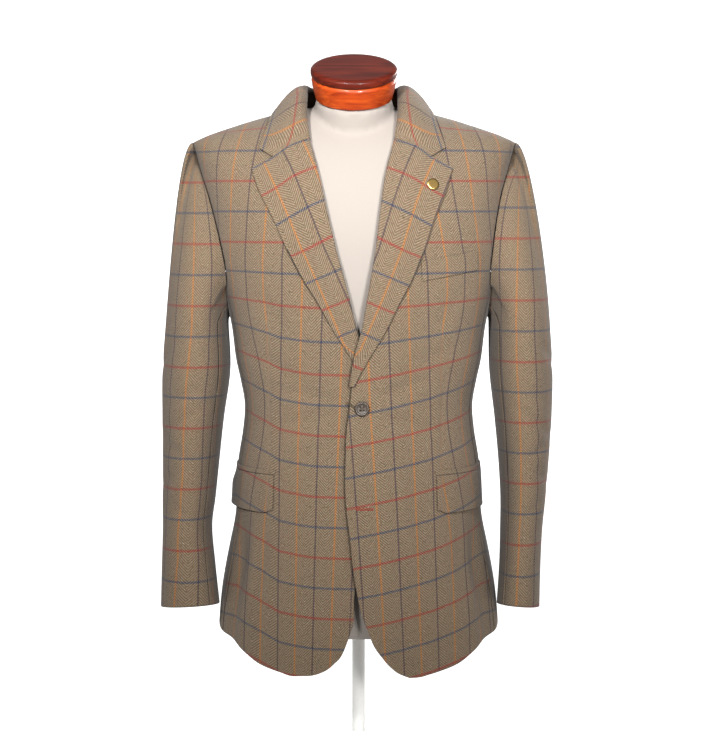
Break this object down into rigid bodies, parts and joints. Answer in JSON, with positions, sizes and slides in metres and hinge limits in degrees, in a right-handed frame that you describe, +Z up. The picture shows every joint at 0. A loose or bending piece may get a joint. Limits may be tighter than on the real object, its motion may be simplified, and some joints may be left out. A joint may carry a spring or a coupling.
{
  "type": "sport coat on a dress form",
  "caption": "Single-breasted tweed sport coat with notch lapels, flap pockets and a welt breast pocket, buttoned on a limbless dress form with a neck cap and a pole stand.",
  "frame": {"origin": "centre of the stand base's underside, on the floor", "axes": "+Z up, -Y the front of the coat, +X the wearer's left"},
  "size_m": [0.5407, 0.277, 0.9948],
  "materials": {
    "tweed": "woven wool tweed with a coloured windowpane check",
    "horn": "horn-look button, satin",
    "pin_brass": "polished brass",
    "form_jersey": "plain cream jersey cover",
    "cherry_wood": "stained and varnished cherry",
    "stand_lacquer": "white lacquer"
  },
  "bodies": {
    "root": {"front_left": "tweed", "front_right": "tweed", "side_left": "tweed", "side_right": "tweed", "back_left": "tweed", "back_right": "tweed", "lapel_left": "tweed", "lapel_right": "tweed", "collar": "tweed", "collar_stand": "tweed", "sleeve_left_upper": "tweed", "sleeve_left_under": "tweed", "sleeve_right_upper": "tweed", "sleeve_right_under": "tweed", "flap_left": "tweed", "flap_right": "tweed", "jet_left": "tweed", "jet_right": "tweed", "breast_welt": "tweed", "button_front": "horn", "button_lower": "horn", "sleeve_left_button_1": "horn", "sleeve_left_button_2": "horn", "sleeve_left_button_3": "horn", "sleeve_left_button_4": "horn", "sleeve_right_button_1": "horn", "sleeve_right_button_2": "horn", "sleeve_right_button_3": "horn", "sleeve_right_button_4": "horn", "lapel_pin": "pin_brass", "form_torso": "form_jersey", "neck_cap_band": "cherry_wood", "neck_cap_top": "cherry_wood", "stand_pole": "stand_lacquer", "stand_base": "stand_lacquer"}
  },
  "joints": []
}
